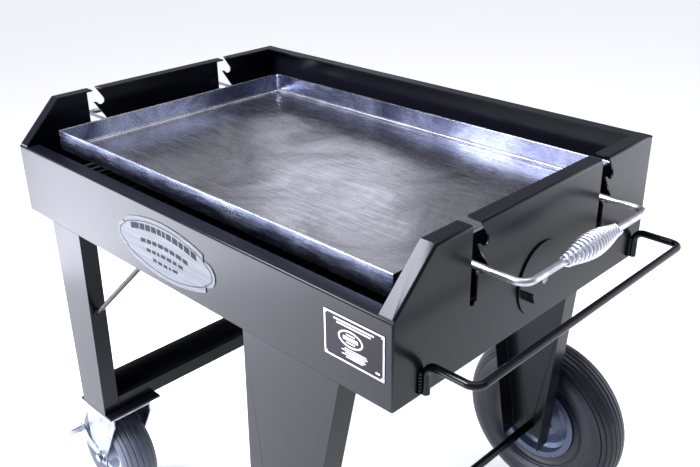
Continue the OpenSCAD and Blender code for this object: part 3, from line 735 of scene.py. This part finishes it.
def rim_bolts(side):
    """Hub flange disc with four bolts on the wheel's inner and outer faces."""
    lo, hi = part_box(side + "_rim")
    centre = (lo + hi) / 2
    inward = 1 if side == "front" else -1
    parts = []
    for out in (-1, 1):
        y = inward * DISC_OFFSET + out * DISC_HALF
        flange = [(FLANGE_BORE_R, y), (FLANGE_R, y), (FLANGE_R, y + out * 1.8 * MM),
                  (FLANGE_BORE_R, y + out * 2.6 * MM)]
        parts.append(turned(centre, flange, 48))
        for k in range(4):
            a = math.radians(45 + 90 * k)
            base = centre + Vector((BOLT_CIRCLE_R * math.cos(a), y, BOLT_CIRCLE_R * math.sin(a)))
            head = [base + Vector((0, out * height * MM, 0)) for height in (1.5, 7.0, 8.0)]
            parts.append(swept(head, BOLT_HEAD_RADII, 6))
    verts, faces = joined(parts)
    piece(side + "_hub_flange", verts, faces, MATERIALS["zinc_plate"], side + "_wheel", 30)


for side in ("front", "back"):
    rim_bolts(side)


# ---- stage, light and camera ----

def floor():
    """Pale paper floor, in metres."""
    half = 14.0
    mesh = bpy.data.meshes.new("floor")
    z = cad_box[0][2]
    mesh.from_pydata([(-half, -half, z), (half, -half, z), (half, half, z), (-half, half, z)], [],
                     [(0, 1, 2, 3)])
    mat, tree, bsdf = new_material("floor_paper")
    grain = noise(tree, place(tree), 3.0, 3.0)
    tree.links.new(ramp(tree, grain, [(0.2, (0.90, 0.90, 0.905)), (0.8, (0.93, 0.93, 0.935))]),
                   bsdf.inputs["Base Color"])
    bsdf.inputs["Roughness"].default_value = 0.9
    bsdf.inputs["Specular IOR Level"].default_value = 0.1
    # paper lit from below, as in a light table sweep
    bsdf.inputs["Emission Color"].default_value = (0.97, 0.98, 1.0, 1.0)
    bsdf.inputs["Emission Strength"].default_value = 0.62
    mesh.materials.append(mat)
    obj = bpy.data.objects.new("floor", mesh)
    bpy.context.scene.collection.objects.link(obj)


def softbox(name, location, target, width, height, power, colour):
    """Rectangular light at location that faces target, in metres and watts."""
    light = bpy.data.lights.new(name, "AREA")
    light.shape = "RECTANGLE"
    light.size = width
    light.size_y = height
    light.energy = power
    light.color = colour
    obj = bpy.data.objects.new(name, light)
    obj.location = location
    obj.rotation_euler = (Vector(target) - Vector(location)).to_track_quat("-Z", "Y").to_euler()
    obj.visible_camera = False
    bpy.context.scene.collection.objects.link(obj)


def lighting():
    world = bpy.data.worlds.new("studio")
    world.use_nodes = True
    back = world.node_tree.nodes["Background"]
    back.inputs["Color"].default_value = (0.86, 0.90, 1.0, 1.0)
    back.inputs["Strength"].default_value = 0.32
    bpy.context.scene.world = world
    cool = (0.86, 0.89, 1.0)
    # the key is mirrored in the front panel's left and middle, the far box in the griddle's middle
    softbox("key", (-0.95, -1.45, 0.48), (0.05, -0.35, 0.70), 1.9, 0.9, 50.0, cool)
    softbox("upper", (-0.45, -1.25, 2.35), (0.40, -0.25, 0.95), 1.3, 0.8, 120.0, cool)
    softbox("far", (-1.62, 1.62, 1.95), (0.0, 0.0, 1.02), 0.75, 0.40, 1.7, cool)
    softbox("rim", (1.30, 1.55, 1.00), (0.55, 0.20, 0.85), 1.7, 1.5, 16.0, cool)
    softbox("top", (0.2, 0.2, 3.2), (0.1, 0.0, 0.8), 2.2, 2.2, 30.0, (1.0, 1.0, 1.0))


# The camera's place in mm from the firebox's corner, its axes and its focal length in mm
CAMERA_AT = (1735.2, -750.8, 758.6)
CAMERA_RIGHT = (0.7131, 0.7009, -0.0131)
CAMERA_FORWARD = (-0.6376, 0.6407, -0.4278)
LENS = 44.71


def camera():
    data = bpy.data.cameras.new("camera")
    data.sensor_width = 36.0
    data.lens = LENS
    data.clip_start = 0.01
    data.clip_end = 100.0
    obj = bpy.data.objects.new("camera", data)
    forward = Vector(CAMERA_FORWARD).normalized()
    right = (Vector(CAMERA_RIGHT) - forward * Vector(CAMERA_RIGHT).dot(forward)).normalized()
    up = right.cross(forward)
    turn = Matrix((right, up, -forward)).transposed().to_4x4()
    obj.matrix_world = Matrix.Translation(at(*CAMERA_AT)) @ turn
    bpy.context.scene.collection.objects.link(obj)
    bpy.context.scene.camera = obj


floor()
lighting()
camera()
bpy.context.scene.view_settings.view_transform = "Standard"
